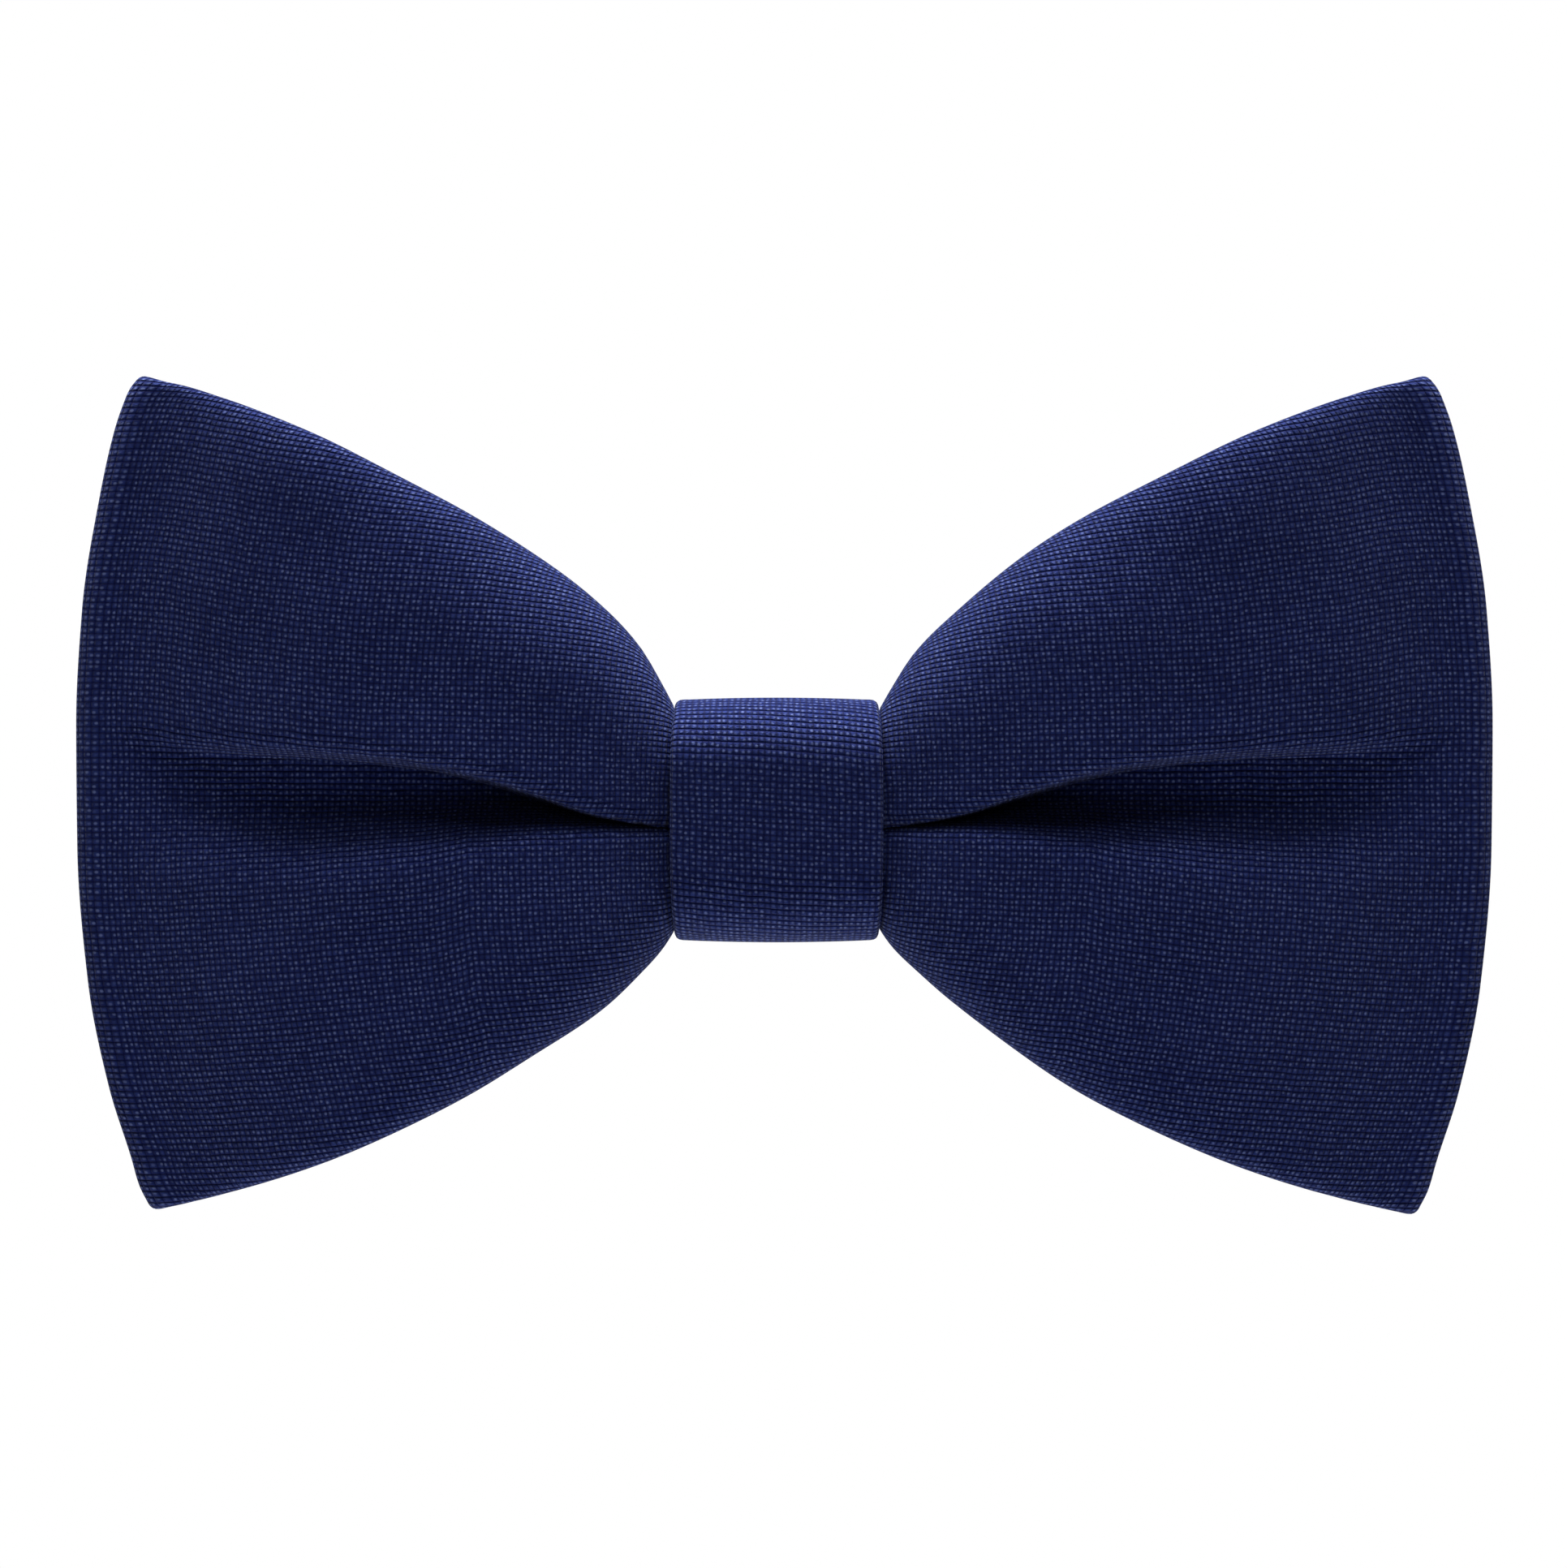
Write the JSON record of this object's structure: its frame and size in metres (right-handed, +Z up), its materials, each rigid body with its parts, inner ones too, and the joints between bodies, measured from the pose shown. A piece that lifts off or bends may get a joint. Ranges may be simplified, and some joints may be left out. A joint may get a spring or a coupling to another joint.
{
  "type": "bow tie",
  "caption": "Pre-tied navy textured fabric bow tie: pleated two-lobed bow, wrapped knot, and an adjustable neck band that closes behind the neck with a hook and ring.",
  "frame": {"origin": "on the axis of the neck opening, at the height of the knot's centre", "axes": "+Z up along the neck's axis; the bow faces -Y; the neck band closes at +Y; +X is to the right as seen from in front of the bow"},
  "size_m": [0.1254, 0.1468, 0.0702],
  "materials": {
    "navy_fabric": "basket weave, matt with a faint sheen",
    "interlining": "brushed cotton interlining",
    "thread": "polyester sewing thread",
    "label": "plain woven satin tape, blank",
    "nickel": "nickel plate, lightly brushed"
  },
  "bodies": {
    "bow": {"bow_shell": "navy_fabric", "bow_interlining": "interlining", "gather_thread": "thread", "bow_back_seam": "thread", "knot_wrap": "navy_fabric", "knot_interlining": "interlining", "knot_back_stitches": "thread", "left_strap_tab": "navy_fabric", "right_strap_tab": "navy_fabric", "tab_stitches": "thread"},
    "left_strap": {"left_strap": "navy_fabric", "left_strap_core": "interlining", "left_end_bartack": "thread", "blank_label": "label"},
    "ring": {"ring": "nickel"},
    "right_strap": {"right_strap": "navy_fabric", "right_strap_core": "interlining", "adjuster_return": "navy_fabric", "right_end_bartack": "thread"},
    "slider": {"slider_frame": "nickel", "adjuster_loop": "navy_fabric", "adjuster_bartack": "thread"},
    "hook": {"hook": "nickel"}
  },
  "joints": [
    {"name": "left_strap_flex", "type": "hinge", "parent": "bow", "child": "left_strap", "pos_m": [-0.0102, -0.0623, 0], "axis": [0, 0, 1], "range_deg": [0, 20]},
    {"name": "right_strap_flex", "type": "hinge", "parent": "bow", "child": "right_strap", "pos_m": [0.0102, -0.0623, 0], "axis": [0, 0, -1], "range_deg": [0, 20]},
    {"name": "ring_swivel", "type": "hinge", "parent": "left_strap", "child": "ring", "pos_m": [-0.01502, 0.06026, 0], "axis": [0, 0, 1], "range_deg": [-60, 60]},
    {"name": "slider_slide", "type": "hinge", "parent": "right_strap", "child": "slider", "pos_m": [0, 0, 0], "axis": [0, 0, 1], "range_deg": [-25, 15], "deforming": ["adjuster_return"]},
    {"name": "hook_swivel", "type": "hinge", "parent": "right_strap", "child": "hook", "pos_m": [0.01296, 0.06099, 0], "axis": [0, 0, 1], "range_deg": [-45, 45]}
  ]
}
